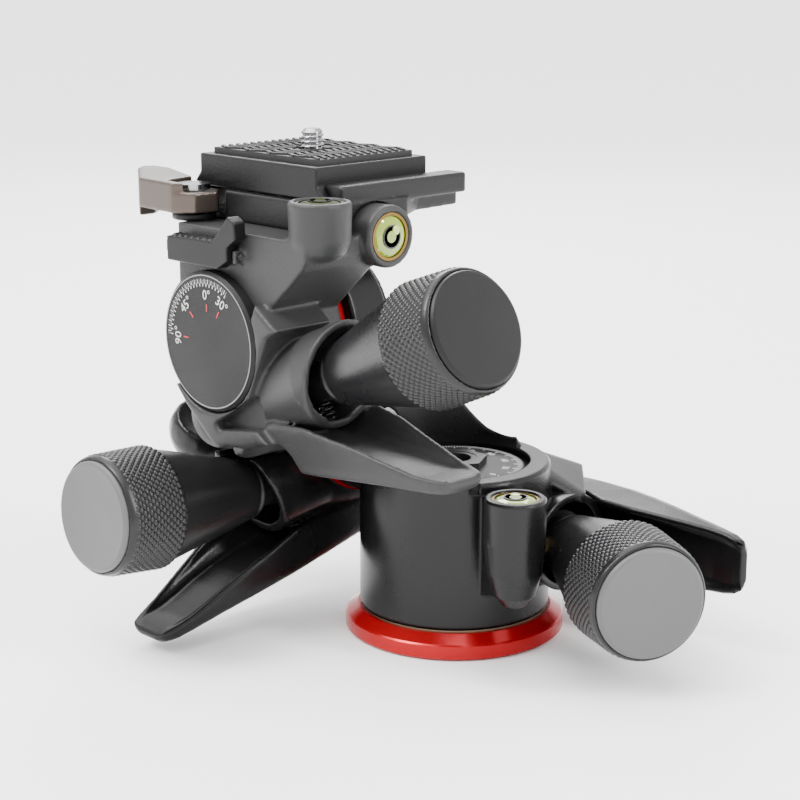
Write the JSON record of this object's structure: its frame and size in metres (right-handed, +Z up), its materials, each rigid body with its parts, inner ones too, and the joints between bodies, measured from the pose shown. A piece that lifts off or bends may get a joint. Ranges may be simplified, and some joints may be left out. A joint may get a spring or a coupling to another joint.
{
  "type": "geared tripod head",
  "caption": "Geared camera tripod head: three worm-driven axes, each with a knob and a finger fin, round base, levels and a lever-locked quick release plate",
  "frame": {"origin": "middle of the base's flat underside, where the tripod's screw enters", "axes": "+Z up along the pan axis; +Y the way the camera looks; +X to the right, the side of the lateral and pan knobs"},
  "size_m": [0.1757, 0.1419, 0.134],
  "materials": {
    "base_flange": "red anodised, glossy",
    "thread_bush": "machined",
    "base_screws": "machined",
    "pan_axle": "machined",
    "pan_wheel": "machined",
    "slide_ring": "machined",
    "pan_scale": "grey with white ticks",
    "pan_lock_nut": "machined",
    "pan_housing": "black semi-gloss, fine texture",
    "pan_bush": "machined",
    "pan_level_vial": "clear yellow-green",
    "pan_level_ring": "machined",
    "tilt_axle": "machined",
    "tilt_wheel": "machined",
    "pan_carrier": "machined",
    "pan_carrier_pin": "machined",
    "pan_spring": "machined",
    "pan_worm": "machined",
    "pan_knob": "satin, knurled grip band",
    "pan_knob_cap": "soft matte",
    "tilt_housing": "black semi-gloss, fine texture",
    "tilt_ring": "red anodised, glossy",
    "tilt_end_cap": "satin",
    "lateral_axle": "machined",
    "lateral_wheel": "machined",
    "lateral_dial": "dark grey, matte, white marks",
    "tilt_carrier": "machined",
    "tilt_carrier_pin": "machined",
    "tilt_spring": "machined",
    "tilt_worm": "machined",
    "tilt_knob": "satin, knurled grip band",
    "tilt_knob_cap": "soft matte",
    "lateral_housing": "dark grey, fine matte texture",
    "lateral_ring": "red anodised, glossy",
    "clamp_body": "dark grey, fine matte texture",
    "clamp_screws": "machined",
    "top_level_vial": "clear yellow-green",
    "top_level_ring": "machined",
    "side_level_vial": "clear yellow-green",
    "side_level_ring": "machined",
    "lateral_carrier": "machined",
    "lateral_carrier_pin": "machined",
    "lateral_spring": "machined",
    "lateral_worm": "machined",
    "lateral_knob": "satin, knurled grip band",
    "lateral_knob_cap": "soft matte",
    "lock_lever": "bronze satin",
    "lever_screw": "machined",
    "safety_catch": "satin",
    "catch_pin": "machined",
    "plate_base": "dark grey, fine matte texture",
    "rubber_pad": "moulded with chevrons",
    "camera_screw": "machined",
    "screw_ring": "machined",
    "plate_feeler": "machined",
    "feeler_spring": "machined"
  },
  "bodies": {
    "base": {"base_flange": "base_flange", "thread_bush": "thread_bush", "base_screws": "base_screws", "pan_axle": "pan_axle", "pan_wheel": "pan_wheel", "slide_ring": "slide_ring", "pan_scale": "pan_scale", "pan_lock_nut": "pan_lock_nut"},
    "pan_body": {"pan_housing": "pan_housing", "pan_bush": "pan_bush", "pan_level_vial": "pan_level_vial", "pan_level_ring": "pan_level_ring", "tilt_axle": "tilt_axle", "tilt_wheel": "tilt_wheel", "pan_carrier_pin": "pan_carrier_pin", "pan_spring": "pan_spring"},
    "pan_clutch": {"pan_carrier": "pan_carrier"},
    "pan_drive": {"pan_worm": "pan_worm", "pan_knob": "pan_knob", "pan_knob_cap": "pan_knob_cap"},
    "tilt_body": {"tilt_housing": "tilt_housing", "tilt_ring": "tilt_ring", "tilt_end_cap": "tilt_end_cap", "lateral_axle": "lateral_axle", "lateral_wheel": "lateral_wheel", "lateral_dial": "lateral_dial", "tilt_carrier_pin": "tilt_carrier_pin", "tilt_spring": "tilt_spring"},
    "tilt_clutch": {"tilt_carrier": "tilt_carrier"},
    "tilt_drive": {"tilt_worm": "tilt_worm", "tilt_knob": "tilt_knob", "tilt_knob_cap": "tilt_knob_cap"},
    "lateral_body": {"lateral_housing": "lateral_housing", "lateral_ring": "lateral_ring", "clamp_body": "clamp_body", "clamp_screws": "clamp_screws", "top_level_vial": "top_level_vial", "top_level_ring": "top_level_ring", "side_level_vial": "side_level_vial", "side_level_ring": "side_level_ring", "lateral_carrier_pin": "lateral_carrier_pin", "lateral_spring": "lateral_spring", "lever_screw": "lever_screw", "catch_pin": "catch_pin", "feeler_spring": "feeler_spring"},
    "lateral_clutch": {"lateral_carrier": "lateral_carrier"},
    "lateral_drive": {"lateral_worm": "lateral_worm", "lateral_knob": "lateral_knob", "lateral_knob_cap": "lateral_knob_cap"},
    "lever": {"lock_lever": "lock_lever"},
    "catch": {"safety_catch": "safety_catch"},
    "feeler": {"plate_feeler": "plate_feeler"},
    "plate": {"plate_base": "plate_base", "rubber_pad": "rubber_pad"},
    "screw": {"camera_screw": "camera_screw", "screw_ring": "screw_ring"}
  },
  "joints": [
    {"name": "pan", "type": "hinge", "parent": "base", "child": "pan_body", "pos_m": [0, 0, 0.025], "axis": [0, 0, 1], "continuous": true},
    {"name": "front_tilt", "type": "hinge", "parent": "pan_body", "child": "tilt_body", "pos_m": [-0.041, -0.008, 0.052], "axis": [-1, 0, 0], "range_deg": [-20, 90]},
    {"name": "lateral_tilt", "type": "hinge", "parent": "tilt_body", "child": "lateral_body", "pos_m": [-0.0435, -0.037, 0.08], "axis": [0, 1, 0], "range_deg": [-90, 30]},
    {"name": "pan_release", "type": "hinge", "parent": "pan_body", "child": "pan_clutch", "pos_m": [0.00233, 0.02981, 0.025], "axis": [0, 0, 1], "range_deg": [0, 8], "stiffness_Nm_per_rad": 2, "springref_deg": -20.05, "deforming": ["pan_spring"]},
    {"name": "pan_knob_turn", "type": "hinge", "parent": "pan_clutch", "child": "pan_drive", "pos_m": [0.01221, 0.02498, 0.025], "axis": [0.8984, -0.4392, 0], "continuous": true},
    {"name": "tilt_release", "type": "hinge", "parent": "tilt_body", "child": "tilt_clutch", "pos_m": [-0.041, 0.00597, 0.03477], "axis": [1, 0, 0], "range_deg": [0, 6], "stiffness_Nm_per_rad": 2, "springref_deg": -20.05, "deforming": ["tilt_spring"]},
    {"name": "tilt_knob_turn", "type": "hinge", "parent": "tilt_clutch", "child": "tilt_drive", "pos_m": [-0.041, -0.009, 0.03569], "axis": [0, -0.9981, 0.061], "continuous": true},
    {"name": "lateral_release", "type": "hinge", "parent": "lateral_body", "child": "lateral_clutch", "pos_m": [-0.05047, -0.037, 0.05712], "axis": [0, 1, 0], "range_deg": [0, 6], "stiffness_Nm_per_rad": 2, "springref_deg": -20.05, "deforming": ["lateral_spring"]},
    {"name": "lateral_knob_turn", "type": "hinge", "parent": "lateral_clutch", "child": "lateral_drive", "pos_m": [-0.03655, -0.037, 0.06271], "axis": [0.9278, 0, 0.373], "continuous": true},
    {"name": "lever_open", "type": "hinge", "parent": "lateral_body", "child": "lever", "pos_m": [-0.062, -0.039, 0.115], "axis": [0, 0, 1], "range_deg": [0, 60], "stiffness_Nm_per_rad": 0.05, "springref_deg": -28.65},
    {"name": "catch_press", "type": "hinge", "parent": "lateral_body", "child": "catch", "pos_m": [-0.048, -0.0476, 0.104], "axis": [1, 0, 0], "range_deg": [0, 12], "stiffness_Nm_per_rad": 0.02, "springref_deg": -17.19},
    {"name": "feeler_press", "type": "slide", "parent": "lateral_body", "child": "feeler", "axis": [0, 0, 1], "range_m": [-0.001, 0], "stiffness_N_per_m": 200, "springref_m": 0.001, "deforming": ["feeler_spring"]},
    {"name": "plate_tip", "type": "hinge", "parent": "lateral_body", "child": "plate", "pos_m": [-0.019, -0.0125, 0.1219], "axis": [0, 1, 0], "range_deg": [0, 15]},
    {"name": "camera_screw_turn", "type": "hinge", "parent": "plate", "child": "screw", "pos_m": [-0.043, -0.0125, 0.12], "axis": [0, 0, 1], "continuous": true}
  ],
  "couplings": [
    {"joint": "pan_knob_turn", "follows": "pan", "ratio": 61},
    {"joint": "tilt_knob_turn", "follows": "front_tilt", "ratio": -31},
    {"joint": "lateral_knob_turn", "follows": "lateral_tilt", "ratio": 37}
  ]
}
